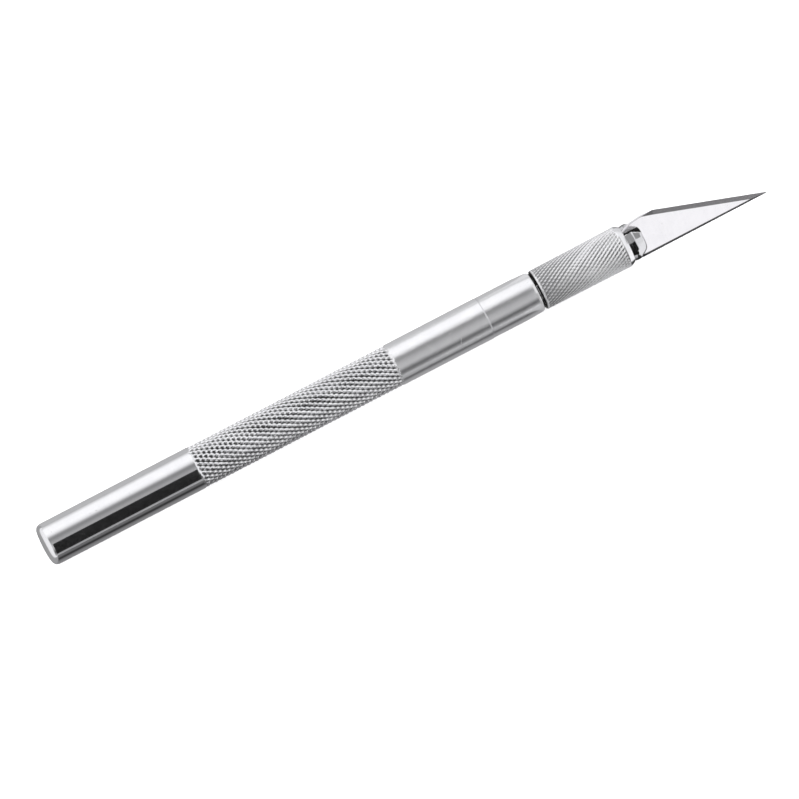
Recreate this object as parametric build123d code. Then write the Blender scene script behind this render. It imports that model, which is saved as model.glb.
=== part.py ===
from build123d import *
import os
from math import cos, sin, tan, radians

os.makedirs("parts", exist_ok=True)

# Hobby craft knife: a slim round aluminium handle with a knurled grip, a
# draw-in collet chuck turned by a knurled collar, and a pointed two-sided
# craft blade.  Millimetres.  The knife lies on a surface: +X runs along its
# axis towards the blade's tip, +Z is up, and the origin is the middle of the
# footprint at the surface.

# ---------------------------------------------------------------- dimensions
# stations along the axis, measured from the handle's rear face
X_GRIP_0 = 30.3           # knurled grip starts
X_GRIP_1 = 70.9           # knurled grip ends
KNURL_RUN = 0.9           # length over which the knurling tool runs in and out
X_BAR_END = 89.0          # joint line between the handle bar and its nose
X_NOSE_TAPER = 96.0       # nose starts to taper
X_NOSE_END = 99.5         # nose's front face
X_COLLAR_0 = 99.85        # collar's rear face, a thin gap ahead of the nose
X_COLLAR_1 = 117.8        # collar's front edge
X_COLLET_TIP = 121.0      # collet jaws' front face
X_TANG_0 = 105.6          # rear end of the blade's tang
X_BLADE_TIP = 145.6       # blade's point
LENGTH = X_BLADE_TIP

# radii
R_BAR = 4.0               # smooth handle
R_GRIP = 3.94             # over the crests of the knurling
R_NOSE = 3.95
R_NOSE_FRONT = 3.78
R_REAR = 2.95             # flat of the rear face, inside its rounded edge
REAR_ROUND = 1.15         # length of that rounded edge
R_COLLAR_0 = 3.83         # over the knurling, rear
R_COLLAR_1 = 3.96         # over the knurling, front
R_COLLAR_LIP = 3.46
COLLAR_BEVEL = 1.05       # length of the collar's front chamfer

# press joint between the bar and the nose
R_SPIGOT = 3.0
SPIGOT = 7.3
SOCKET_GAP = 0.3
DRILL_ANGLE = 59.0        # half angle of a drill point

# chuck thread, M5 x 0.8: plain cylinders at the thread's major diameter
R_THREAD = 2.50
R_TAPPED = 2.55
X_TAPPED_0 = 87.4
X_TAIL_0 = 89.8
X_KEY_0 = 100.25          # two flats on the collet, which the collar turns
X_KEY_1 = 104.25
R_KEY = 2.93
FLAT = 2.55
KEY_GAP = 0.05
X_WEB_1 = 103.85          # front of the collar's keyed web

R_SHANK = 3.0
R_COLLAR_BORE = 3.06
X_MOUTH_0 = 116.3         # collar's closing cone starts
R_MOUTH = 3.36
X_CONE_0 = 116.35
R_HEAD_AT_LIP = 3.32
R_HEAD = 3.46
R_JAW_FRONT = 2.45
JAW_SLOT = 0.56           # slot across the collet, for the blade
RELIEF_N = 1.15           # one jaw stands clear of the blade's sides, down to this far from the blade's middle
RELIEF_W = 2.1            # and no nearer the axis than this, across the blade
X_RELIEF_0 = 116.0
X_SLOT_0 = 105.2

# blade
BLADE_T = 0.5
TANG_HALF = 3.0
BLADE_HALF = 4.6
X_CORNER = 124.4          # rear end of the cutting edge
TANG_SLOT_X0 = 4.7        # punched slot in the tang, from the tang's end
TANG_SLOT_L = 6.6
TANG_SLOT_W = 2.5
GRIND = 0.9               # width of the ground edge
EDGE_T = 0.03             # thickness left at the cutting edge
BLADE_ROLL = 56.5         # the cutting edge points up and to +Y

Z_AXIS = R_BAR            # the knife rests on its smooth barrel
PLACE = Pos(-LENGTH / 2, 0, Z_AXIS)


def turned(points):
    """A solid turned about the knife's axis from (station, radius) points."""
    return revolve(make_face(Polyline(*points, close=True)), Axis.X, 360)


def keyed(x0, x1, radius, flat):
    """A round bar with two flats, parallel to the blade's faces."""
    bar = turned([(x0, 0), (x0, radius), (x1, radius), (x1, 0)])
    slab = Pos((x0 + x1) / 2, 0, 0) * Box(x1 - x0 + 2, 20, 2 * flat)
    return bar & slab


# ---------------------------------------------------------------- handle bar
rear_round = [(REAR_ROUND * (1 - cos(radians(a))), R_REAR + (R_BAR - R_REAR) * sin(radians(a)))
              for a in (15, 30, 45, 60, 75)]
socket_back = X_BAR_END - SPIGOT - SOCKET_GAP
handle_bar = turned([
    (0, 0), (0, R_REAR), *rear_round, (REAR_ROUND, R_BAR),
    (X_GRIP_0, R_BAR), (X_GRIP_0 + KNURL_RUN, R_GRIP), (X_GRIP_1 - KNURL_RUN, R_GRIP), (X_GRIP_1, R_BAR),
    (X_BAR_END - 0.09, R_BAR), (X_BAR_END, R_BAR - 0.12),
    (X_BAR_END, R_SPIGOT), (socket_back, R_SPIGOT),
    (socket_back - R_SPIGOT / tan(radians(DRILL_ANGLE)), 0),
])

# ---------------------------------------------------------------- nose
nose_ferrule = turned([
    (X_BAR_END - SPIGOT, 0), (X_BAR_END - SPIGOT, R_SPIGOT - 0.3), (X_BAR_END - SPIGOT + 0.3, R_SPIGOT),
    (X_BAR_END, R_SPIGOT), (X_BAR_END, R_NOSE - 0.1), (X_BAR_END + 0.09, R_NOSE),
    (X_NOSE_TAPER, R_NOSE), (X_NOSE_END - 0.35, R_NOSE_FRONT), (X_NOSE_END, R_NOSE_FRONT - 0.3),
    (X_NOSE_END, R_TAPPED + 0.35), (X_NOSE_END - 0.35, R_TAPPED),
    (X_TAPPED_0, R_TAPPED), (X_TAPPED_0 - R_TAPPED / tan(radians(DRILL_ANGLE)), 0),
])

# ---------------------------------------------------------------- collar
chuck_collar = turned([
    (X_COLLAR_0, 0), (X_COLLAR_0, R_COLLAR_0 - 0.2), (X_COLLAR_0 + 0.2, R_COLLAR_0),
    (X_COLLAR_1 - COLLAR_BEVEL, R_COLLAR_1), (X_COLLAR_1, R_COLLAR_LIP),
    (X_COLLAR_1, R_MOUTH), (X_MOUTH_0, R_COLLAR_BORE), (X_WEB_1, R_COLLAR_BORE), (X_WEB_1, 0),
])
chuck_collar -= keyed(X_COLLAR_0 - 1, X_WEB_1 + 1, R_KEY + KEY_GAP, FLAT + KEY_GAP)

# ---------------------------------------------------------------- collet
tail = turned([
    (X_TAIL_0, 0), (X_TAIL_0, R_THREAD - 0.4), (X_TAIL_0 + 0.4, R_THREAD), (X_KEY_0, R_THREAD),
    (X_KEY_0, 0),
])
shank_and_head = turned([
    (X_KEY_1, 0), (X_KEY_1, R_SHANK), (X_CONE_0, R_SHANK), (X_COLLAR_1, R_HEAD_AT_LIP),
    (X_COLLAR_1 + 0.6, R_HEAD - 0.03), (X_COLLAR_1 + 0.9, R_HEAD), (X_COLLAR_1 + 1.3, R_HEAD - 0.02),
    (X_COLLAR_1 + 1.65, R_HEAD - 0.18), (X_COLLET_TIP - 0.35, R_JAW_FRONT + 0.28),
    (X_COLLET_TIP - 0.08, R_JAW_FRONT + 0.08), (X_COLLET_TIP, R_JAW_FRONT - 0.15), (X_COLLET_TIP, 0),
])
chuck_collet = tail + keyed(X_KEY_0, X_KEY_1, R_KEY, FLAT) + shank_and_head
slot_len = X_COLLET_TIP - X_SLOT_0 + 1
chuck_collet -= Pos(X_SLOT_0 + slot_len / 2, 0, 0) * Box(slot_len, 20, JAW_SLOT)
relief_len = X_COLLET_TIP - X_RELIEF_0 + 1
for side in (1, -1):
    notch = Box(relief_len, R_HEAD, RELIEF_N - JAW_SLOT / 4)
    chuck_collet -= Pos(X_RELIEF_0 + relief_len / 2, side * (RELIEF_W + R_HEAD / 2), (RELIEF_N + JAW_SLOT / 4) / 2) * notch

# ---------------------------------------------------------------- blade
# outline in the blade's own plane: x is the station, y is towards the cutting edge
outline = [
    (X_TANG_0, -TANG_HALF), (X_COLLAR_1 - 1.1, -TANG_HALF), (X_COLLAR_1, -3.24),
    (X_COLLAR_1 + 1.2, -4.25), (X_COLLAR_1 + 2.2, -BLADE_HALF),
    (X_BLADE_TIP, -BLADE_HALF),
    (X_CORNER, BLADE_HALF), (X_COLLAR_1 + 4.2, BLADE_HALF), (X_COLLAR_1 + 1.9, 4.25),
    (X_COLLAR_1, 3.22), (X_COLLAR_1 - 1.1, TANG_HALF),
    (X_TANG_0, TANG_HALF),
]
blade = extrude(make_face(Polyline(*outline, close=True)), BLADE_T / 2, both=True)
slot_mid = X_TANG_0 + TANG_SLOT_X0 + TANG_SLOT_L / 2
blade -= Pos(slot_mid, 0, 0) * extrude(SlotOverall(TANG_SLOT_L, TANG_SLOT_W), BLADE_T, both=True)
# the edge is ground from both faces
edge = Vector(X_BLADE_TIP - X_CORNER, -2 * BLADE_HALF, 0)
along = edge.normalized()
inward = Vector(along.Y, -along.X, 0)
slope = (BLADE_T / 2 - EDGE_T / 2) / GRIND
for side in (1, -1):
    base = Plane(origin=Vector(X_CORNER, BLADE_HALF, 0) - along * 8, x_dir=inward, z_dir=along)
    up = 1 if base.y_dir.Z * side > 0 else -1
    section = [(-3, up * (EDGE_T / 2 - 3 * slope)), (GRIND, up * BLADE_T / 2), (GRIND, up * 2), (-3, up * 2)]
    blade -= extrude(base * make_face(Polyline(*section, close=True)), edge.length + 16)

# ---------------------------------------------------------------- in place
ROLL = Rot(BLADE_ROLL, 0, 0)
nodes = {
    "handle_bar": handle_bar,
    "nose_ferrule": nose_ferrule,
    "chuck_collar": ROLL * chuck_collar,
    "chuck_collet": ROLL * chuck_collet,
    "blade": ROLL * blade,
}
for name, shape in nodes.items():
    placed = PLACE * shape
    solid = placed.solids()[0] if len(placed.solids()) == 1 else placed
    solid.label = name
    export_step(solid, f"parts/{name}.step")
    box = solid.bounding_box()
    print(name, len(placed.solids()), "solid,", round(placed.volume, 2), "mm3,",
          [round(v, 3) for v in (*box.min, *box.max)], "valid", placed.is_valid)
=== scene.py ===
import math

import bpy
import numpy as np
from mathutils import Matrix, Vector


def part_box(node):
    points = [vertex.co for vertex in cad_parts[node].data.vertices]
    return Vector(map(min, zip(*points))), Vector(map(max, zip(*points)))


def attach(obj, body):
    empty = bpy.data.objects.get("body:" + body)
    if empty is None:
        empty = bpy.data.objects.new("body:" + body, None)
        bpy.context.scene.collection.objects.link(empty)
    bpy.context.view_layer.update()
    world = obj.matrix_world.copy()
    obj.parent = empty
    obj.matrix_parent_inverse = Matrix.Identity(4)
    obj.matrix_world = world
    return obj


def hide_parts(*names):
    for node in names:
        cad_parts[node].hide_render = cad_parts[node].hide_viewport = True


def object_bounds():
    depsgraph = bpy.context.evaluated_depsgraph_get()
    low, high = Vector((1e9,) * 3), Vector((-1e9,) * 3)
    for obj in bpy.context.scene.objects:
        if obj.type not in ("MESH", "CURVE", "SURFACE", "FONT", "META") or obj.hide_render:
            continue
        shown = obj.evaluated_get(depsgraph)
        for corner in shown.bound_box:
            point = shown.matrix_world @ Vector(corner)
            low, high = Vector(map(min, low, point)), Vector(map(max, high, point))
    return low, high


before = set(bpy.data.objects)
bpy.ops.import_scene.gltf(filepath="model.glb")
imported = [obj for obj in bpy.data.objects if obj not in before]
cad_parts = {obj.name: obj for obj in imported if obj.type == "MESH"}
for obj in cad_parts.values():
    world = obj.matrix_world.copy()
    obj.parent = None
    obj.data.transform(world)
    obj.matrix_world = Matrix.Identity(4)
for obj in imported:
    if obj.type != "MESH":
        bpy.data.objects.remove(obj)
CAD_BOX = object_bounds()

MM = 0.001
bar_lo, bar_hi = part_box("handle_bar")
nose_lo, nose_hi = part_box("nose_ferrule")
collar_lo, collar_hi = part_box("chuck_collar")
collet_lo, collet_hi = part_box("chuck_collet")
blade_lo, blade_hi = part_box("blade")
AXIS_Z = (bar_lo.z + bar_hi.z) / 2
REAR = bar_lo.x                        # the handle's rear face
R_BAR = (bar_hi.y - bar_lo.y) / 2 / MM
ROLL = math.radians(56.5)              # the blade's plane, turned about the axis


def st(x):
    """Station of a row-frame x, in millimetres ahead of the rear face."""
    return (x - REAR) / MM


X_BAR_END = st(bar_hi.x)
X_NOSE_END = st(nose_hi.x)
X_SPIGOT = st(nose_lo.x)
X_COLLAR_0, X_COLLAR_1 = st(collar_lo.x), st(collar_hi.x)
X_TAIL_0, X_COLLET_TIP = st(collet_lo.x), st(collet_hi.x)
X_TANG_0, X_TIP = st(blade_lo.x), st(blade_hi.x)
X_GRIP_0, X_GRIP_1, R_GRIP = 30.3, 70.9, 3.94


# ------------------------------------------------------------------ camera
def make_camera():
    az, el, dist = math.radians(-28.25), math.radians(75.3), 3.0
    back = Vector((math.sin(az) * math.cos(el), -math.cos(az) * math.cos(el), math.sin(el)))
    right = Vector((math.cos(az), math.sin(az), 0))
    up = back.cross(right)
    mm_px = 1 / 5.60                    # millimetres to a picture element at the knife
    cam = bpy.data.cameras.new("camera")
    ob = bpy.data.objects.new("camera", cam)
    bpy.context.scene.collection.objects.link(ob)
    centre = Vector(((CAD_BOX[0].x + CAD_BOX[1].x) / 2, 0, AXIS_Z))
    target = centre + (right * CAM_DX + up * CAM_DY) * mm_px * MM
    ob.location = target + back * dist
    ob.rotation_mode = "QUATERNION"
    ob.rotation_quaternion = (-back).to_track_quat("-Z", "Y")
    cam.sensor_width = 36
    cam.lens = 36 * dist / (799 * mm_px * MM)
    cam.clip_start, cam.clip_end = 0.1, 20
    bpy.context.scene.camera = ob
    return ob


CAM_DX, CAM_DY = -5.0, -40.0
make_camera()


# ------------------------------------------------------------------ meshes
def mesh_object(name, verts, faces, sharp=30):
    me = bpy.data.meshes.new(name)
    me.from_pydata([tuple(v) for v in verts], [], faces)
    me.validate()
    me.polygons.foreach_set("use_smooth", [True] * len(me.polygons))
    me.update()
    me.set_sharp_from_angle(angle=math.radians(sharp))
    ob = bpy.data.objects.new(name, me)
    bpy.context.scene.collection.objects.link(ob)
    return ob


def place(x, r, theta):
    """Row-frame point at station x, radius r and angle theta from +Y towards +Z, all in millimetres and radians."""
    return (REAR + x * MM, r * math.cos(theta) * MM, AXIS_Z + r * math.sin(theta) * MM)


def lathe(name, rings, seg, theta0=0.0, split=None, sharp=30):
    """A closed skin over rings of (station, radii): a radii of 0 is a pole, a number is round, an array is one radius an angle.
    split[(ring, k)] tells which diagonal cuts that cell."""
    th = theta0 + np.arange(seg) * 2 * math.pi / seg
    cs, sn = np.cos(th), np.sin(th)
    verts, first = [], []
    for x, r in rings:
        first.append(len(verts))
        if np.isscalar(r) and r == 0:
            verts.append((REAR + x * MM, 0.0, AXIS_Z))
            continue
        rr = np.full(seg, r) if np.isscalar(r) else r
        xs = np.full(seg, REAR + x * MM)
        verts.extend(zip(xs.tolist(), (rr * cs * MM).tolist(), (AXIS_Z + rr * sn * MM).tolist()))
    first.append(len(verts))
    faces = []
    for j in range(len(rings) - 1):
        a, b = first[j], first[j + 1]
        na, nb = first[j + 1] - a, first[j + 2] - b
        for i in range(seg):
            k = (i + 1) % seg
            if na == 1:
                faces.append((a, b + i, b + k))
            elif nb == 1:
                faces.append((a + i, b, a + k))
            elif split is not None and (j, i) in split:
                if split[(j, i)]:
                    faces.append((a + i, b + i, b + k))
                    faces.append((a + i, b + k, a + k))
                else:
                    faces.append((a + i, b + i, a + k))
                    faces.append((a + k, b + i, b + k))
            else:
                faces.append((a + i, b + i, b + k, a + k))
    return mesh_object(name, verts, faces, sharp)


def knurl(x0, x1, r0, r1, teeth, sub, depth, share, width, lean, seed, ramp=0.35, ragged=0.0, stock=None):
    """Rings of a diamond knurling with real teeth, pressed in by two crossing families of 30 degree grooves.
    r0, r1: crest radius at the ends; share: the main family's part of the depth; width: a groove's part of the pitch;
    lean: which way the main family runs; ramp: length over which the tool runs in and out; ragged: how unevenly;
    stock: radius of the smooth bar at the ends."""
    rng = np.random.default_rng(seed)
    seg = 2 * teeth * sub
    mean_c = 2 * math.pi * (r0 + r1) / 2
    dx = mean_c / seg / math.tan(math.radians(30))
    n = int((x1 - x0) / dx)
    dx = (x1 - x0) / n
    i = np.arange(seg)
    rough = rng.normal(0, 1, (teeth, teeth))
    uneven = rng.uniform(-1, 1, (2, teeth))
    knots = rng.uniform(0, 1, (2, teeth))
    late0, late1 = (ragged * np.interp(i / seg * teeth, np.arange(teeth + 1), np.append(k, k[0])) for k in knots)
    rings, split = [], {}
    for j in range(n + 1):
        x = x0 + j * dx
        sa, sb = (i + lean * j) / (2 * sub), (i - lean * j) / (2 * sub)
        da, db = np.abs(sa - np.round(sa)), np.abs(sb - np.round(sb))
        ga, gb = (np.clip(1 - 2 * d / width, 0, 1) for d in (da, db))
        # each tooth stands a little higher or lower than the next, and each groove is a little deeper or shallower
        ta, tb = np.floor(sa).astype(int), np.floor(sb).astype(int)
        tooth = 0.05 * rough[ta % teeth, tb % teeth]
        ka = 1 + 0.20 * uneven[0][np.round(sa).astype(int) % teeth]
        kb = 1 + 0.18 * uneven[1][np.round(sb).astype(int) % teeth]
        h = 1 - np.clip(share * ka * ga + (1 - share) * kb * gb, 0, 1) + np.where((ga == 0) & (gb == 0), -np.abs(tooth), 0)
        fade = np.minimum((x - x0 - late0) / ramp, (x1 - x - late1) / ramp)
        fade = np.clip(fade, 0, 1) if 0 < j < n else np.zeros(seg)
        crest = r0 + (r1 - r0) * (x - x0) / (x1 - x0)
        if stock is not None:
            crest = stock + (crest - stock) * np.clip(1.4 * fade, 0, 1)
        rings.append((x, crest - depth * fade * (1 - h)))
        if j < n:
            ja = j + 0.5
            ia = i + 0.5
            ca, cb = (ia + lean * ja) / (2 * sub), (ia - lean * ja) / (2 * sub)
            near_a = np.abs(ca - np.round(ca)) < np.abs(cb - np.round(cb))
            for k in range(seg):
                # the deep family's grooves run along one diagonal of the cells
                split[(j, k)] = (not near_a[k]) if lean > 0 else bool(near_a[k])
    return rings, split, seg


def shifted(split, by):
    return {(j + by, i): v for (j, i), v in split.items()}


def arc(x0, r0, x1, r1, steps, bulge):
    """Points of an elliptical corner from (x0, r0) to (x1, r1): bulge 'rear' turns from a face to the outside."""
    out = []
    for s in range(1, steps):
        a = math.pi / 2 * s / steps
        if bulge == "rear":
            out.append((x0 + (x1 - x0) * (1 - math.cos(a)), r0 + (r1 - r0) * math.sin(a)))
        else:
            out.append((x0 + (x1 - x0) * math.sin(a), r0 + (r1 - r0) * (1 - math.cos(a))))
    return out


def spread(x0, r0, x1, r1, n):
    return [(x0 + (x1 - x0) * t / n, r0 + (r1 - r0) * t / n) for t in range(n + 1)]


# handle bar: rounded flat rear end, smooth barrel, knurled grip, smooth front, socket for the nose
GRIP = dict(teeth=26, sub=5, depth=0.34, share=0.66, width=0.80, lean=-1, seed=11, ramp=0.35, ragged=0.45, stock=R_BAR)
grip_rings, grip_split, grip_seg = knurl(X_GRIP_0, X_GRIP_1, R_GRIP, R_GRIP, **GRIP)
rear = [(0, 0), (0, 0.9), (0, 1.8), (0, 2.6), (0, 2.9)] + [(0.004, 2.95)]
rear += arc(0.004, 2.95, 1.15, R_BAR, 12, "rear") + [(1.15, R_BAR)]
rear += spread(1.6, R_BAR, X_GRIP_0 - 0.06, R_BAR, 40)
front = spread(X_GRIP_1 + 0.06, R_BAR, X_BAR_END - 0.12, R_BAR, 24)
front += [(X_BAR_END - 0.06, R_BAR - 0.03), (X_BAR_END, R_BAR - 0.12), (X_BAR_END, 3.02), (X_BAR_END - 7.6, 3.02), (X_BAR_END - 9.4, 0)]
handle = lathe("handle_bar_skin", rear + grip_rings + front, grip_seg, split=shifted(grip_split, len(rear)), sharp=22)
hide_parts("handle_bar")
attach(handle, "handle")

# nose ferrule: spigot in the bar, smooth front that tapers to the chuck, bore
nose = [(X_SPIGOT, 0), (X_SPIGOT, 2.7), (X_SPIGOT + 0.3, 2.99), (X_BAR_END - 0.001, 2.99), (X_BAR_END + 0.001, R_BAR - 0.16),
        (X_BAR_END + 0.07, R_BAR - 0.07), (X_BAR_END + 0.13, 3.95)]
nose += spread(X_BAR_END + 0.4, 3.95, 95.6, 3.95, 12)
for t in range(1, 11):
    s = t / 10
    nose.append((95.6 + (X_NOSE_END - 0.42 - 95.6) * s, 3.95 - 0.17 * s ** 1.35))
nose += [(X_NOSE_END - 0.30, 3.74), (X_NOSE_END - 0.05, 3.52), (X_NOSE_END, 3.46), (X_NOSE_END, 2.9),
         (X_NOSE_END - 0.35, 2.56), (87.4, 2.56), (86.0, 0)]
ferrule = lathe("nose_ferrule_skin", nose, 240, sharp=28)
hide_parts("nose_ferrule")
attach(ferrule, "handle")

# chuck collar: finer knurling, polished front chamfer, closing cone and keyed web inside
COLLAR = dict(teeth=34, sub=4, depth=0.19, share=0.70, width=0.84, lean=1, seed=5, ramp=0.3, ragged=0.1)
kx0, kx1 = X_COLLAR_0 + 0.22, X_COLLAR_1 - 1.02
collar_rings, collar_split, collar_seg = knurl(kx0, kx1, 3.83, 3.955, **COLLAR)
th = ROLL * 0 + np.arange(collar_seg) * 2 * math.pi / collar_seg
key_bore = np.minimum(2.98, 2.60 / np.maximum(1e-6, np.abs(np.sin(th - ROLL))))
before = [(X_COLLAR_0, key_bore), (X_COLLAR_0, 3.45), (X_COLLAR_0, 3.62), (X_COLLAR_0 + 0.05, 3.70), (X_COLLAR_0 + 0.17, 3.80)]
after = [(X_COLLAR_1 - 0.98, 3.955), (X_COLLAR_1 - 0.86, 3.92), (X_COLLAR_1 - 0.60, 3.80), (X_COLLAR_1 - 0.30, 3.64),
         (X_COLLAR_1 - 0.08, 3.51), (X_COLLAR_1 - 0.01, 3.455), (X_COLLAR_1, 3.43), (X_COLLAR_1, 3.38), (X_COLLAR_1 - 0.04, 3.355), (X_COLLAR_1 - 1.5, 3.06),
         (103.85, 3.06), (103.85, key_bore)]


def ring_shell(name, rings, seg, split, sharp):
    """Like lathe, but the last ring joins the first, as on a tube."""
    ob = lathe(name, rings + [rings[0]], seg, split=split, sharp=sharp)
    import bmesh
    bm = bmesh.new()
    bm.from_mesh(ob.data)
    bmesh.ops.remove_doubles(bm, verts=bm.verts, dist=1e-7)
    bm.to_mesh(ob.data)
    bm.free()
    ob.data.set_sharp_from_angle(angle=math.radians(sharp))
    return ob


collar = ring_shell("chuck_collar_skin", before + collar_rings + after, collar_seg, shifted(collar_split, len(before)), 22)
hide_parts("chuck_collar")
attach(collar, "collar")


# ------------------------------------------------------------------ collet
def boolean(target, cutter):
    mod = target.modifiers.new("cut", "BOOLEAN")
    mod.operation = "DIFFERENCE"
    mod.solver = "EXACT"
    mod.object = cutter
    bpy.context.view_layer.update()
    dg = bpy.context.evaluated_depsgraph_get()
    me = bpy.data.meshes.new_from_object(target.evaluated_get(dg))
    target.modifiers.clear()
    target.data = me
    bpy.data.objects.remove(cutter)


def prism(name, x0, x1, section):
    """A bar along the axis: section is (across, through) points in the blade's plane frame, millimetres."""
    c, s = math.cos(ROLL), math.sin(ROLL)
    verts = []
    for x in (x0, x1):
        for a, t in section:
            verts.append((REAR + x * MM, (a * c - t * s) * MM, AXIS_Z + (a * s + t * c) * MM))
    n = len(section)
    faces = [tuple(range(n))[::-1], tuple(range(n, 2 * n))]
    faces += [(k, (k + 1) % n, n + (k + 1) % n, n + k) for k in range(n)]
    ob = mesh_object(name, verts, faces)
    import bmesh
    bm = bmesh.new()
    bm.from_mesh(ob.data)
    bmesh.ops.recalc_face_normals(bm, faces=bm.faces)
    bm.to_mesh(ob.data)
    bm.free()
    return ob


SEG_C = 192
thc = np.arange(SEG_C) * 2 * math.pi / SEG_C
key = np.minimum(2.93, 2.55 / np.maximum(1e-6, np.abs(np.sin(thc - ROLL))))
head = [(X_TAIL_0, 0), (X_TAIL_0, 2.0), (X_TAIL_0 + 0.1, 2.2), (X_TAIL_0 + 0.4, 2.5), (100.25, 2.5), (100.25, key), (104.25, key), (104.25, 3.0),
        (116.35, 3.0), (X_COLLAR_1 - 0.12, 3.29), (X_COLLAR_1 + 0.1, 3.335), (X_COLLAR_1 + 0.35, 3.375), (X_COLLAR_1 + 0.52, 3.41),
        (X_COLLAR_1 + 0.62, 3.437), (X_COLLAR_1 + 0.72, 3.452), (X_COLLAR_1 + 0.9, 3.46), (X_COLLAR_1 + 1.25, 3.45), (X_COLLAR_1 + 1.42, 3.41),
        (X_COLLAR_1 + 1.56, 3.33), (X_COLLAR_1 + 1.66, 3.25), (X_COLLAR_1 + 2.1, 2.985), (X_COLLAR_1 + 2.55, 2.71), (X_COLLAR_1 + 2.8, 2.55),
        (X_COLLET_TIP - 0.28, 2.43), (X_COLLET_TIP - 0.16, 2.31), (X_COLLET_TIP - 0.06, 2.15), (X_COLLET_TIP, 1.95), (X_COLLET_TIP, 0.9), (X_COLLET_TIP, 0)]
collet = lathe("chuck_collet_skin", head, SEG_C, sharp=28)
boolean(collet, prism("slot_cutter", 105.2, X_COLLET_TIP + 1, [(-6, -0.28), (6, -0.28), (6, 0.28), (-6, 0.28)]))
for side in (1, -1):
    boolean(collet, prism("relief_cutter", 116.0, X_COLLET_TIP + 1, [(side * 2.1, 0.14), (side * 6, 0.14), (side * 6, 1.5), (side * 3.5, 1.5), (side * 3.2, 1.15), (side * 2.1, 1.15)][::side]))
collet.data.polygons.foreach_set("use_smooth", [True] * len(collet.data.polygons))
collet.data.set_sharp_from_angle(angle=math.radians(28))
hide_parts("chuck_collet")
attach(collet, "collet")


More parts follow.
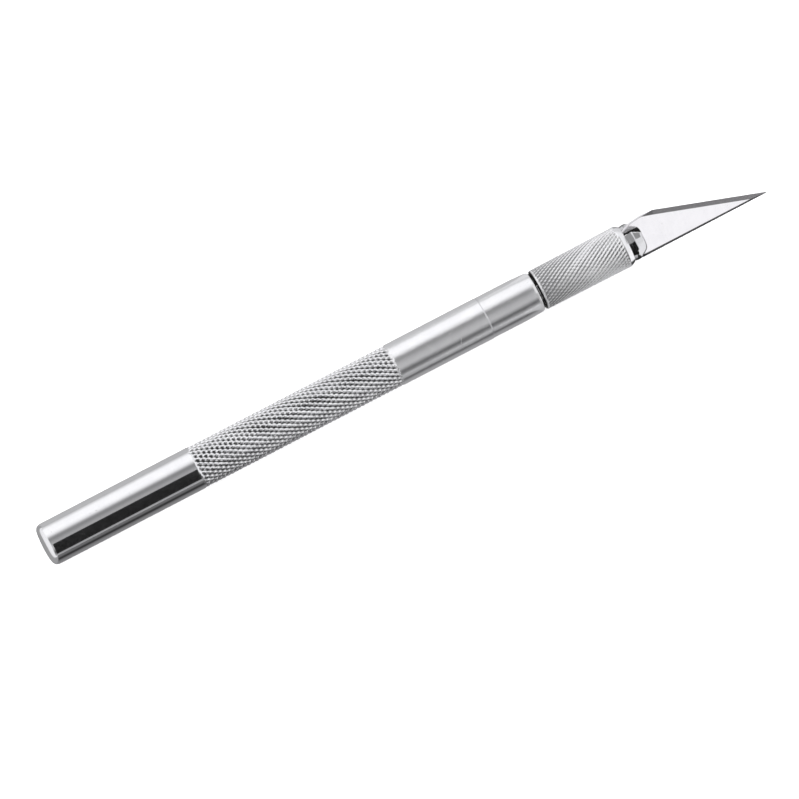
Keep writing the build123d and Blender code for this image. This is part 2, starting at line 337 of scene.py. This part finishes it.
# ------------------------------------------------------------------ blade
def blade_mesh():
    """The blade as one closed skin: flat faces, a stamped spine with broken corners, and an edge ground from both faces."""
    import bmesh
    T, HALF = 0.25, 4.6
    c, s = math.cos(ROLL), math.sin(ROLL)
    X_CORNER = 124.4

    def smooth(points, n=6):
        """Rounds the corners marked with a radius: points are (x, y, radius)."""
        out, m = [], len(points)
        for k, (x, y, r) in enumerate(points):
            if r == 0:
                out.append((x, y))
                continue
            p0, p1 = points[k - 1], points[(k + 1) % m]
            a = Vector((p0[0] - x, p0[1] - y)).normalized()
            b = Vector((p1[0] - x, p1[1] - y)).normalized()
            half = a.angle(b) / 2
            d = r / math.tan(half)
            q0, q1 = Vector((x, y)) + a * d, Vector((x, y)) + b * d
            for t in range(n + 1):
                u = t / n
                q = q0 * (1 - u) ** 2 + Vector((x, y)) * 2 * u * (1 - u) + q1 * u ** 2
                out.append((q.x, q.y))
        return out

    # anticlockwise seen from the face that shows: tang end, spine side, tip, edge side
    outline = smooth([
        (X_TANG_0, -3.0, 0.25), (X_COLLAR_1 - 1.1, -3.0, 1.2), (X_COLLAR_1 + 0.1, -3.27, 0.8), (X_COLLAR_1 + 1.2, -4.22, 0.8),
        (X_COLLAR_1 + 2.2, -HALF, 1.6), (X_TIP, -HALF, 0),
        (X_CORNER, HALF, 0.8), (X_COLLAR_1 + 4.0, HALF, 3.0), (X_COLLAR_1 + 1.9, 4.25, 1.6), (X_COLLAR_1 + 0.1, 3.27, 1.0),
        (X_COLLAR_1 - 1.1, 3.0, 1.2), (X_TANG_0, 3.0, 0.25)])
    n = len(outline)
    tip = min(range(n), key=lambda k: -outline[k][0])
    # how far in each outline point the ground edge reaches, and how thick the rim is there
    bm = bmesh.new()
    cut_in, rim_t = [], []
    for k, (x, y) in enumerate(outline):
        ground = 0.0
        if k > tip and x > 122.2 and y > -HALF + 0.01:
            ground = 0.9 * min(1.0, max(0.0, (x - 122.2) / 1.6))
        if k == tip:
            ground = 0.9
        cut_in.append(max(ground, 0.05))
        spine = k < tip and x > X_COLLAR_1 + 0.3
        rim_t.append((T - 0.11 if spine else T - 0.035) if ground == 0 else max(0.015, (T - 0.035) * (1 - ground / 0.9)))

    def inner(k, by):
        """Outline point k with the inward normals of its next and previous sides, from which the caller moves it into
        the blade by its ground width.
        """
        p = Vector(outline[k])
        a = (Vector(outline[(k + 1) % n]) - p).normalized()
        b = (p - Vector(outline[k - 1])).normalized()
        na, nb = Vector((-a.y, a.x)), Vector((-b.y, b.x))
        return p, na, nb

    inside = []
    for k in range(n):
        p, na, nb = inner(k, 0)
        wa = cut_in[k] if k != tip else 0.9
        wb = cut_in[k] if k != tip else 0.65
        det = na.x * nb.y - na.y * nb.x
        if abs(det) < 0.02:
            q = p + na * cut_in[k]
        else:
            q = p + Vector(((nb.y * wa - na.y * wb) / det, (-nb.x * wa + na.x * wb) / det))
        inside.append((q.x, q.y))
    # the spine's corners are rolled over by the stamping, so the face stops a little short of it
    for k in range(n):
        x, y = outline[k]
        if k < tip and x > X_COLLAR_1 + 0.3:
            inside[k] = (x + (0.65 - 0.42) * (x < X_COLLAR_1 + 2.4), y + 0.65)

    def at(x, y, t):
        return bm.verts.new((REAR + x * MM, (y * c - t * s) * MM, AXIS_Z + (y * s + t * c) * MM))

    rings = {}
    for side in (1, -1):
        rings["face", side] = [at(*inside[k], side * T) for k in range(n)]
        rings["rim", side] = [at(*outline[k], side * rim_t[k]) for k in range(n)]
    slot = []
    sx0, sx1, sw = X_TANG_0 + 4.7 + 1.25, X_TANG_0 + 11.3 - 1.25, 1.25
    for t in range(17):
        a = math.pi / 2 + math.pi * t / 16
        slot.append((sx0 + sw * math.cos(a), sw * math.sin(a)))
    for t in range(17):
        a = -math.pi / 2 + math.pi * t / 16
        slot.append((sx1 + sw * math.cos(a), sw * math.sin(a)))
    hole = {side: [at(*p, side * T) for p in slot] for side in (1, -1)}
    for k in range(n):
        m = (k + 1) % n
        for side in (1, -1):
            f, r = rings["face", side], rings["rim", side]
            bm.faces.new((r[k], r[m], f[m], f[k]) if side > 0 else (f[k], f[m], r[m], r[k]))
        bm.faces.new((rings["rim", -1][k], rings["rim", -1][m], rings["rim", 1][m], rings["rim", 1][k]))
    h = len(slot)
    for k in range(h):
        m = (k + 1) % h
        bm.faces.new((hole[1][k], hole[1][m], hole[-1][m], hole[-1][k]))
    for side in (1, -1):
        es = []
        f = rings["face", side]
        for ring in (f, hole[side]):
            for k in range(len(ring)):
                e = bm.edges.get((ring[k], ring[(k + 1) % len(ring)])) or bm.edges.new((ring[k], ring[(k + 1) % len(ring)]))
                es.append(e)
        bmesh.ops.triangle_fill(bm, edges=es, use_beauty=True, use_dissolve=False)
    bmesh.ops.recalc_face_normals(bm, faces=bm.faces)
    me = bpy.data.meshes.new("blade_skin")
    bm.to_mesh(me)
    bm.free()
    me.polygons.foreach_set("use_smooth", [True] * len(me.polygons))
    me.set_sharp_from_angle(angle=math.radians(6))
    ob = bpy.data.objects.new("blade_skin", me)
    bpy.context.scene.collection.objects.link(ob)
    return ob


blade = blade_mesh()
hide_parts("blade")
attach(blade, "blade")


# ------------------------------------------------------------------ materials
class Tree:
    """A short way to write a node tree."""

    def __init__(self, name):
        self.mat = bpy.data.materials.new(name)
        self.mat.use_nodes = True
        self.t = self.mat.node_tree
        self.t.nodes.clear()
        self.out = self.t.nodes.new("ShaderNodeOutputMaterial")
        self.bsdf = self.t.nodes.new("ShaderNodeBsdfPrincipled")
        self.t.links.new(self.bsdf.outputs[0], self.out.inputs[0])
        self.coord = self.t.nodes.new("ShaderNodeTexCoord").outputs["Object"]

    def link(self, a, b):
        self.t.links.new(a, b)

    def node(self, kind, **sets):
        n = self.t.nodes.new(kind)
        for k, v in sets.items():
            setattr(n, k, v)
        return n

    def mapped(self, scale=(1, 1, 1), loc=(0, 0, 0), rot=(0, 0, 0), source=None):
        n = self.node("ShaderNodeMapping")
        n.inputs["Scale"].default_value = scale
        n.inputs["Location"].default_value = loc
        n.inputs["Rotation"].default_value = rot
        self.link(source or self.coord, n.inputs["Vector"])
        return n.outputs[0]

    def noise(self, scale, detail=3, rough=0.5, dist=0.0, source=None):
        n = self.node("ShaderNodeTexNoise")
        n.inputs["Scale"].default_value = scale
        n.inputs["Detail"].default_value = detail
        n.inputs["Roughness"].default_value = rough
        n.inputs["Distortion"].default_value = dist
        self.link(source or self.coord, n.inputs["Vector"])
        return n.outputs["Fac"]

    def ramp(self, fac, stops):
        n = self.node("ShaderNodeValToRGB")
        els = n.color_ramp.elements
        while len(els) > 1:
            els.remove(els[-1])
        for k, (p, c) in enumerate(stops):
            e = els[0] if k == 0 else els.new(p)
            e.position = p
            e.color = (c, c, c, 1) if not hasattr(c, "__len__") else (*c, 1)
        self.link(fac, n.inputs[0])
        return n.outputs[0]

    def maths(self, op, a, b=None, clamp=False):
        n = self.node("ShaderNodeMath", operation=op, use_clamp=clamp)
        for k, v in enumerate((a, b)):
            if v is None:
                continue
            if isinstance(v, (int, float)):
                n.inputs[k].default_value = v
            else:
                self.link(v, n.inputs[k])
        return n.outputs[0]

    def mix(self, fac, a, b):
        n = self.node("ShaderNodeMix", data_type="RGBA")
        for sock, v in ((0, fac), (6, a), (7, b)):
            if isinstance(v, (int, float)):
                n.inputs[sock].default_value = v
            elif isinstance(v, tuple):
                n.inputs[sock].default_value = (*v, 1)
            else:
                self.link(v, n.inputs[sock])
        return n.outputs[2]

    def bump(self, height, strength, distance, normal=None):
        n = self.node("ShaderNodeBump")
        n.inputs["Strength"].default_value = strength
        n.inputs["Distance"].default_value = distance
        self.link(height, n.inputs["Height"])
        if normal is not None:
            self.link(normal, n.inputs["Normal"])
        return n.outputs[0]


AX = (0.0, 0.0, -AXIS_Z)               # puts the knife's axis through the texture's origin


def polar(t):
    """Texture coordinates of a turned part: the position with the axis through the origin, split into x, y and z, and
    the distance from the axis.
    """
    sep = t.node("ShaderNodeSeparateXYZ")
    t.link(t.mapped(loc=AX), sep.inputs[0])
    rad = t.maths("SQRT", t.maths("ADD", t.maths("MULTIPLY", sep.outputs[1], sep.outputs[1]), t.maths("MULTIPLY", sep.outputs[2], sep.outputs[2])))
    return sep, rad


def stretched(t, sx, sy, sz):
    return t.mapped(scale=(sx, sy, sz), loc=(0, 0, -AXIS_Z * sz))


def scratches(t, scale, turn, thin=0.012, sx=1.0, sy=1.0):
    """Thin stray scratches: the zero lines of a stretched noise, kept where a second noise lets them."""
    n = t.noise(scale, 1.0, 0.4, source=t.mapped(scale=(sx, sy, sy), rot=turn))
    line = t.maths("ABSOLUTE", t.maths("SUBTRACT", n, 0.5))
    line = t.ramp(line, [(0.0, 1.0), (thin, 0.0)])
    keep = t.ramp(t.noise(scale * 2.3, 1.0, 0.5, source=t.mapped(loc=(0.3, 0.1, 0.7))), [(0.52, 0.0), (0.62, 1.0)])
    return t.maths("MULTIPLY", line, keep)


def between(t, value, low, high, soft):
    """1 where value lies between low and high, falling to 0 over soft at each end."""
    out = []
    for lo, hi in ((low - soft, low + soft), (high + soft, high - soft)):
        n = t.node("ShaderNodeMapRange")
        n.interpolation_type = "SMOOTHSTEP"
        n.inputs["From Min"].default_value = lo
        n.inputs["From Max"].default_value = hi
        t.link(value, n.inputs["Value"])
        out.append(n.outputs[0])
    return t.maths("MULTIPLY", *out)


def turned_metal(name, base, dark, rough, lines, line_depth, blot=0.5, streak=0.0, grip=None, matt=None, slot=None, mottle=0.0, gap_shade_span=None):
    """Turned metal: fine rings round the axis at two pitches, faint lengthwise drag marks, stray scratches, handling
    stains.
    rough: lowest and highest roughness; grip: (from station, to station, crest radius, depth, roughness,
    soil_and_shade) of its knurling, whose grooves are darkened partly as grime and partly as painted shade;
    matt: (from station, added roughness, added rings) of a stretch that is left less polished;
    mottle: how uneven the polish is; gap_shade_span: (from station, to station) of an end face painted nearly black as
    shade in the gap beside the next part;
    slot: (half height, largest radius) of a sawn slot in the blade's plane, whose one face is painted nearly black and
    made rough as shade in the slot."""
    t = Tree(name)
    sep, rad = polar(t)
    x = sep.outputs[0]
    fine = t.noise(1.0, 4, 0.7, source=stretched(t, lines, 12, 12))
    wide = t.noise(1.0, 2, 0.5, source=stretched(t, lines * 0.16, 10, 10))
    drag = t.noise(1.0, 3, 0.6, source=stretched(t, 60, 2600, 2600))
    stain = t.noise(260, 4, 0.62, 0.4)
    specks = t.ramp(t.noise(2600, 2, 0.5), [(0.70, 0.0), (0.78, 1.0)])
    marks = scratches(t, 170, (0.3, 0.5, 1.1), 0.010)
    marks2 = scratches(t, 120, (0.9, 0.2, 0.4), 0.008)
    tone = t.ramp(stain, [(0.30, 0.0), (0.72, 1.0)])
    colour = t.mix(tone, dark, base)
    colour = t.mix(t.maths("MULTIPLY", t.ramp(fine, [(0.35, 1.0), (0.60, 0.0)]), 0.10 * blot + 0.10 * streak), colour, tuple(0.45 * c for c in base))
    colour = t.mix(t.maths("MULTIPLY", specks, 0.30), colour, (0.30, 0.29, 0.28))
    colour = t.mix(t.maths("MULTIPLY", marks, 0.25), colour, (0.95, 0.95, 0.95))
    r = t.maths("ADD", t.maths("MULTIPLY", fine, rough[1] - rough[0]), rough[0])
    r = t.maths("ADD", r, t.maths("MULTIPLY", t.ramp(stain, [(0.45, 1.0), (0.75, 0.0)]), 0.03 * blot))
    r = t.maths("ADD", r, t.maths("MULTIPLY", marks, 0.10), True)
    height = t.maths("ADD", t.maths("MULTIPLY", fine, 1.0), t.maths("MULTIPLY", wide, 0.8))
    height = t.maths("ADD", height, t.maths("MULTIPLY", drag, 0.25 + streak))
    if matt:
        zone = between(t, x, REAR + matt[0] * MM, 1.0, 0.0002)
        r = t.maths("ADD", r, t.maths("MULTIPLY", zone, matt[1]), True)
        height = t.maths("MULTIPLY", height, t.maths("ADD", t.maths("MULTIPLY", zone, matt[2]), 1.0))
    height = t.maths("SUBTRACT", height, t.maths("MULTIPLY", t.maths("ADD", marks, marks2), 1.2))
    if mottle:
        uneven = t.noise(1.0, 2, 0.5, source=stretched(t, 700, 1300, 1300))
        if matt:
            uneven = t.maths("MULTIPLY", uneven, zone)
        height = t.maths("ADD", height, t.maths("MULTIPLY", uneven, mottle))
    # painted shade: the end face beside the next part is coloured nearly black and made rougher, standing for the
    # shadow in the gap
    if gap_shade_span:
        painted_gap_shade = between(t, x, REAR + gap_shade_span[0] * MM, REAR + gap_shade_span[1] * MM, 0.00003)
        colour = t.mix(painted_gap_shade, colour, (0.05, 0.048, 0.046))
        r = t.maths("ADD", r, t.maths("MULTIPLY", painted_gap_shade, 0.3), True)
    if grip:
        # the crests keep their colour; the grooves are darkened by their radius, partly as grime and partly as painted
        # shade in the hollows, and stay rough
        lo, hi, crest, depth, grip_rough, soil_and_shade = grip
        zone = between(t, x, REAR + lo * MM, REAR + hi * MM, 0.0003)
        up = t.node("ShaderNodeMapRange")
        up.inputs["From Min"].default_value = (crest - depth) * MM
        up.inputs["From Max"].default_value = (crest - 0.10 * depth) * MM
        t.link(rad, up.inputs["Value"])
        grime = t.noise(900, 3, 0.6)
        low = t.maths("SUBTRACT", t.maths("ADD", up.outputs[0], t.maths("MULTIPLY", grime, 0.30)), 0.15, True)
        groove_shade_and_grime = t.ramp(low, [(0.0, soil_and_shade), (0.32, 0.14 + 0.7 * soil_and_shade), (0.55, 0.86), (0.80, 1.0)])
        shade = t.mix(zone, (1, 1, 1), groove_shade_and_grime)
        n = t.node("ShaderNodeMix", data_type="RGBA", blend_type="MULTIPLY")
        n.inputs[0].default_value = 1.0
        t.link(colour, n.inputs[6])
        t.link(shade, n.inputs[7])
        colour = n.outputs[2]
        r = t.maths("ADD", r, t.maths("MULTIPLY", zone, t.maths("ADD", t.maths("MULTIPLY", low, -0.10), grip_rough)), True)
    if slot:
        # painted shade: the slot's near face is coloured nearly black and made rougher, standing for the shadow between
        # the jaw and the blade
        through = t.maths("SUBTRACT", t.maths("MULTIPLY", sep.outputs[2], math.cos(ROLL)), t.maths("MULTIPLY", sep.outputs[1], math.sin(ROLL)))
        inside = t.maths("MULTIPLY", between(t, through, 0.10 * MM, (slot[0] - 0.05) * MM, 0.00001), between(t, rad, -1.0, slot[1] * MM, 0.00001))
        colour = t.mix(inside, colour, (0.035, 0.034, 0.033))
        r = t.maths("ADD", r, t.maths("MULTIPLY", inside, 0.45), True)
        # the relieved jaw's underside is left matt by the cutter
        matt_face = t.maths("MULTIPLY", between(t, through, (slot[0] - 0.07) * MM, (slot[0] + 0.02) * MM, 0.00001), between(t, rad, 2.15 * MM, 3.42 * MM, 0.00001))
        colour = t.mix(matt_face, colour, (0.93, 0.93, 0.93))
        r = t.maths("ADD", r, t.maths("MULTIPLY", matt_face, 0.5), True)
        t.link(t.maths("SUBTRACT", 1.0, t.maths("MULTIPLY", matt_face, 0.85)), t.bsdf.inputs["Metallic"])
    t.link(colour, t.bsdf.inputs["Base Color"])
    t.link(r, t.bsdf.inputs["Roughness"])
    if not slot:
        t.bsdf.inputs["Metallic"].default_value = 1.0
    t.link(t.bump(height, 1.0, line_depth), t.bsdf.inputs["Normal"])
    return t.mat


handle.data.materials.append(turned_metal("bright_turned_aluminium", (0.91, 0.91, 0.92), (0.85, 0.85, 0.87), (0.05, 0.11), 9000, 0.0000008,
                                          grip=(X_GRIP_0, X_GRIP_1, R_GRIP, 0.34, 0.17, 0.05), matt=(X_GRIP_1 - 1, 0.09, 2.2), mottle=22.0))
ferrule.data.materials.append(turned_metal("brushed_aluminium", (0.90, 0.90, 0.91), (0.84, 0.84, 0.86), (0.13, 0.19), 9000, 0.0000024, streak=0.5,
                                           mottle=7.0, gap_shade_span=(X_NOSE_END - 0.06, X_NOSE_END + 1)))
collar.data.materials.append(turned_metal("knurled_aluminium", (0.92, 0.92, 0.93), (0.87, 0.87, 0.89), (0.10, 0.18), 9000, 0.0000010,
                                          grip=(X_COLLAR_0 + 0.2, X_COLLAR_1 - 0.95, 3.90, 0.19, 0.20, 0.34), gap_shade_span=(X_COLLAR_0 - 1, X_COLLAR_0 + 0.09)))
collet.data.materials.append(turned_metal("polished_steel", (0.78, 0.78, 0.79), (0.70, 0.70, 0.72), (0.04, 0.09), 12000, 0.0000004, slot=(1.17, 3.22)))


def blade_metal():
    """Satin ground carbon steel: lines across the blade from the grinding, faint stains."""
    t = Tree("ground_blade_steel")
    turn = (-ROLL, 0, 0)
    local = t.mapped(loc=AX)
    grain = t.noise(1.0, 4, 0.7, source=t.mapped(scale=(5200, 260, 260), source=local))
    broad = t.noise(1.0, 3, 0.6, source=t.mapped(scale=(900, 90, 90), source=local))
    stain = t.noise(210, 4, 0.6, 0.6)
    marks = scratches(t, 210, (0.4, 0.1, 0.7), 0.010)
    specks = t.ramp(t.noise(3000, 2, 0.5), [(0.71, 0.0), (0.78, 1.0)])
    colour = t.mix(t.ramp(stain, [(0.3, 0.0), (0.72, 1.0)]), (0.86, 0.85, 0.87), (0.91, 0.90, 0.92))
    colour = t.mix(t.maths("MULTIPLY", t.ramp(broad, [(0.35, 1.0), (0.6, 0.0)]), 0.05), colour, (0.45, 0.45, 0.50))
    colour = t.mix(t.maths("MULTIPLY", specks, 0.35), colour, (0.25, 0.22, 0.20))
    t.link(colour, t.bsdf.inputs["Base Color"])
    r = t.maths("ADD", t.maths("MULTIPLY", grain, 0.10), 0.10)
    r = t.maths("ADD", r, t.maths("MULTIPLY", marks, 0.1), True)
    t.link(r, t.bsdf.inputs["Roughness"])
    t.bsdf.inputs["Metallic"].default_value = 1.0
    height = t.maths("SUBTRACT", t.maths("ADD", grain, t.maths("MULTIPLY", broad, 0.5)), marks)
    t.link(t.bump(height, 1.0, 0.0000008), t.bsdf.inputs["Normal"])
    return t.mat


blade.data.materials.append(blade_metal())


# ------------------------------------------------------------------ floor and light
floor_me = bpy.data.meshes.new("floor")
floor_me.from_pydata([(-3, -3, 0), (3, -3, 0), (3, 3, 0), (-3, 3, 0)], [], [(0, 1, 2, 3)])
floor = bpy.data.objects.new("floor", floor_me)
bpy.context.scene.collection.objects.link(floor)


def ramp_node(t, fac, stops, low, high):
    """A colour ramp over stops of (position between low and high, grey)."""
    n = t.nodes.new("ShaderNodeValToRGB")
    fit = t.nodes.new("ShaderNodeMapRange")
    fit.inputs["From Min"].default_value = low
    fit.inputs["From Max"].default_value = high
    t.links.new(fac, fit.inputs["Value"])
    t.links.new(fit.outputs[0], n.inputs[0])
    els = n.color_ramp.elements
    while len(els) > 1:
        els.remove(els[-1])
    for k, (at, v) in enumerate(stops):
        pos = (at - low) / (high - low)
        e = els[0] if k == 0 else els.new(pos)
        if k == 0:
            e.position = pos
        e.color = (v, v, v * 1.012, 1)
    return n.outputs[0]


# the table as the metal mirrors it, a painted reflection: grey by distance to the side (metres, - is the near side),
# for the rear and the front of the handle, with dark dips as painted contact shadow beside the knife
TABLE_REAR = [(-0.12, 0.15), (-0.030, 0.16), (-0.021, 0.10), (-0.016, 0.03), (-0.012, 0.05), (-0.009, 0.20), (-0.003, 0.30), (0.004, 0.30), (0.009, 0.50), (0.03, 0.55), (0.12, 0.45)]
TABLE_FRONT = [(-0.12, 0.42), (-0.030, 0.42), (-0.021, 0.30), (-0.016, 0.10), (-0.012, 0.14), (-0.009, 0.34), (-0.003, 0.42), (0.004, 0.32), (0.009, 0.55), (0.03, 0.62), (0.12, 0.60)]
TABLE_COLLAR = [(-0.12, 0.60), (-0.014, 0.58), (-0.008, 0.48), (0.004, 0.50), (0.010, 0.80), (0.12, 0.88)]
TABLE_CHUCK = [(-0.12, 0.05), (-0.010, 0.04), (0.004, 0.02), (0.012, 0.40), (0.12, 0.60)]
TABLE_BLADE = [(-0.12, 1.03), (-0.0046, 1.03), (-0.0038, 0.08), (-0.0016, 0.08), (-0.0008, 0.7), (0.12, 0.85)]


def floor_material():
    """White to the eye; in the metal's reflections a painted reflection instead, a dimmer glowing table with painted
    contact shadows, pale in front of the blade and behind the rear end.
    """
    m = bpy.data.materials.new("pale_floor")
    m.use_nodes = True
    t = m.node_tree
    t.nodes.clear()
    out = t.nodes.new("ShaderNodeOutputMaterial")
    white = t.nodes.new("ShaderNodeBsdfDiffuse")
    white.inputs[0].default_value = (0.93, 0.93, 0.935, 1)
    painted_reflection = t.nodes.new("ShaderNodeEmission")
    geo = t.nodes.new("ShaderNodeNewGeometry")
    sep = t.nodes.new("ShaderNodeSeparateXYZ")
    t.links.new(geo.outputs["Position"], sep.inputs[0])
    x, y = sep.outputs[0], sep.outputs[1]

    def blend(low, high, a, b):
        f = t.nodes.new("ShaderNodeMapRange")
        f.interpolation_type = "SMOOTHSTEP"
        f.inputs["From Min"].default_value = low
        f.inputs["From Max"].default_value = high
        t.links.new(x, f.inputs["Value"])
        n = t.nodes.new("ShaderNodeMix")
        n.data_type = "RGBA"
        t.links.new(f.outputs[0], n.inputs[0])
        t.links.new(a, n.inputs[6])
        t.links.new(b, n.inputs[7])
        return n.outputs[2]

    rear, front, ring, chuck, tip = (ramp_node(t, y, stops, -0.12, 0.12)
                                     for stops in (TABLE_REAR, TABLE_FRONT, TABLE_COLLAR, TABLE_CHUCK, TABLE_BLADE))
    near, far = (ramp_node(t, y, [(-0.12, v), (0.12, v)], -0.12, 0.12) for v in (0.36, 0.90))
    end = blend(REAR - 0.016, REAR - 0.006, far, near)
    grey = blend(REAR - 0.0015, REAR + 0.0005, end, rear)
    grey = blend(-0.035, -0.005, grey, front)
    grey = blend(collar_lo.x - 0.0004, collar_lo.x + 0.0002, grey, ring)
    grey = blend(collar_hi.x - 0.0002, collar_hi.x + 0.0004, grey, chuck)
    grey = blend(0.0475, 0.0488, grey, tip)
    t.links.new(grey, painted_reflection.inputs[0])
    # painted reflection: glossy rays see this grey emission instead of the white floor
    paths = t.nodes.new("ShaderNodeLightPath")
    mix = t.nodes.new("ShaderNodeMixShader")
    t.links.new(paths.outputs["Is Glossy Ray"], mix.inputs[0])
    t.links.new(white.outputs[0], mix.inputs[1])
    t.links.new(painted_reflection.outputs[0], mix.inputs[2])
    t.links.new(mix.outputs[0], out.inputs[0])
    return m


floor_me.materials.append(floor_material())


# the studio as the metal mirrors it: grey by angle round the knife, 0 straight up, + towards the near side
PLAIN = 2.3
ENV = [(-180, 0.50), (-96, 0.55), (-86, 0.70), (-78, 0.88), (-70, 1.08), (-40, 1.12), (-30, 1.00), (-22, 0.80), (-14, 0.42), (-8, 0.27), (-2, 0.25), (12, 0.36), (22, 0.44), (42, 0.50),
       (54, 0.30), (62, 0.11), (70, 0.10), (78, 0.25), (88, 0.42), (100, 0.42), (180, 0.40)]
FLAG = (22, 78)                          # a black flag beside the rear of the handle, between these angles


def studio():
    """A soft white studio: a long light bank on the far side, a dim ceiling and near side, a white end wall behind the handle."""
    w = bpy.data.worlds.new("studio")
    bpy.context.scene.world = w
    w.use_nodes = True
    t = w.node_tree
    t.nodes.clear()
    out = t.nodes.new("ShaderNodeOutputWorld")
    coord = t.nodes.new("ShaderNodeTexCoord")
    sep = t.nodes.new("ShaderNodeSeparateXYZ")
    t.links.new(coord.outputs["Generated"], sep.inputs[0])

    def maths(op, a, b):
        n = t.nodes.new("ShaderNodeMath")
        n.operation = op
        for k, v in enumerate((a, b)):
            if isinstance(v, (int, float)):
                n.inputs[k].default_value = v
            else:
                t.links.new(v, n.inputs[k])
        return n.outputs[0]

    ang = maths("ARCTAN2", maths("MULTIPLY", sep.outputs[1], -1.0), sep.outputs[2])
    ring = ramp_node(t, ang, [(math.radians(d), v) for d, v in ENV], -math.pi, math.pi)
    ends = t.nodes.new("ShaderNodeMapRange")
    ends.interpolation_type = "SMOOTHSTEP"
    ends.inputs["From Min"].default_value = -0.25
    ends.inputs["From Max"].default_value = -0.6
    t.links.new(sep.outputs[0], ends.inputs["Value"])
    look = t.nodes.new("ShaderNodeMix")
    look.data_type = "RGBA"
    t.links.new(ends.outputs[0], look.inputs[0])
    t.links.new(ring, look.inputs[6])
    look.inputs[7].default_value = (0.95, 0.95, 0.96, 1)
    front = t.nodes.new("ShaderNodeMapRange")
    front.interpolation_type = "SMOOTHSTEP"
    front.inputs["From Min"].default_value = 0.40
    front.inputs["From Max"].default_value = 0.60
    t.links.new(sep.outputs[0], front.inputs["Value"])
    both = t.nodes.new("ShaderNodeMix")
    both.data_type = "RGBA"
    t.links.new(front.outputs[0], both.inputs[0])
    t.links.new(look.outputs[2], both.inputs[6])
    both.inputs[7].default_value = (0.92, 0.92, 0.93, 1)
    paths = t.nodes.new("ShaderNodeLightPath")
    mirrored = t.nodes.new("ShaderNodeBackground")
    t.links.new(both.outputs[2], mirrored.inputs[0])
    plain = t.nodes.new("ShaderNodeBackground")
    plain.inputs[0].default_value = (1, 1, 1, 1)
    plain.inputs[1].default_value = PLAIN
    mix = t.nodes.new("ShaderNodeMixShader")
    t.links.new(paths.outputs["Is Glossy Ray"], mix.inputs[0])
    t.links.new(plain.outputs[0], mix.inputs[1])
    t.links.new(mirrored.outputs[0], mix.inputs[2])
    t.links.new(mix.outputs[0], out.inputs[0])


def card(name, far, x0, x1, a0, a1, grey, steps=24):
    """A curved card round the knife's axis, seen only in the metal: far is its distance, a0 and a1 its edges in degrees."""
    verts, faces = [], []
    for k in range(steps + 1):
        a = math.radians(a0 + (a1 - a0) * k / steps)
        for x in (x0, x1):
            verts.append((x, -far * math.sin(a), AXIS_Z + far * math.cos(a)))
    for k in range(steps):
        faces.append((2 * k, 2 * k + 1, 2 * k + 3, 2 * k + 2))
    me = bpy.data.meshes.new(name)
    me.from_pydata(verts, [], faces)
    ob = bpy.data.objects.new(name, me)
    bpy.context.scene.collection.objects.link(ob)
    m = bpy.data.materials.new(name)
    m.use_nodes = True
    t = m.node_tree
    t.nodes.clear()
    out = t.nodes.new("ShaderNodeOutputMaterial")
    em = t.nodes.new("ShaderNodeEmission")
    em.inputs[0].default_value = (grey, grey, grey, 1)
    t.links.new(em.outputs[0], out.inputs[0])
    me.materials.append(m)
    ob.visible_camera = ob.visible_diffuse = ob.visible_shadow = ob.visible_transmission = False
    return ob


studio()
card("black_flag", 0.050, REAR + 0.0015, REAR + (X_GRIP_0 + 6.6) * MM, FLAG[0], FLAG[1], 0.006)
card("collar_ceiling", 0.020, collar_lo.x + 0.0042, collar_hi.x + 0.0012, -28, 24, 0.86)
card("collar_side", 0.020, collar_lo.x + 0.0042, collar_hi.x + 0.0012, 24.5, 94, 0.48)
card("chuck_flag", 0.010, 0.0433, 0.0478, 20, 95, 0.006)
card("chuck_ceiling", 0.010, 0.0433, 0.0478, -36, 19.5, 0.36)
card("chuck_flag_front", 0.030, 0.0479, 0.0570, 20, 78, 0.006)
card("chuck_ceiling_front", 0.030, 0.0479, 0.0570, -36, 19.5, 0.36)
card("nose_card", 0.012, 0.0657, 0.0850, -75, 14, 0.34)
card("blade_card", 0.100, 0.0560, 0.2500, 82, 92, 1.03)

bpy.context.scene.view_settings.view_transform = "Standard"
bpy.context.scene.view_settings.look = "None"
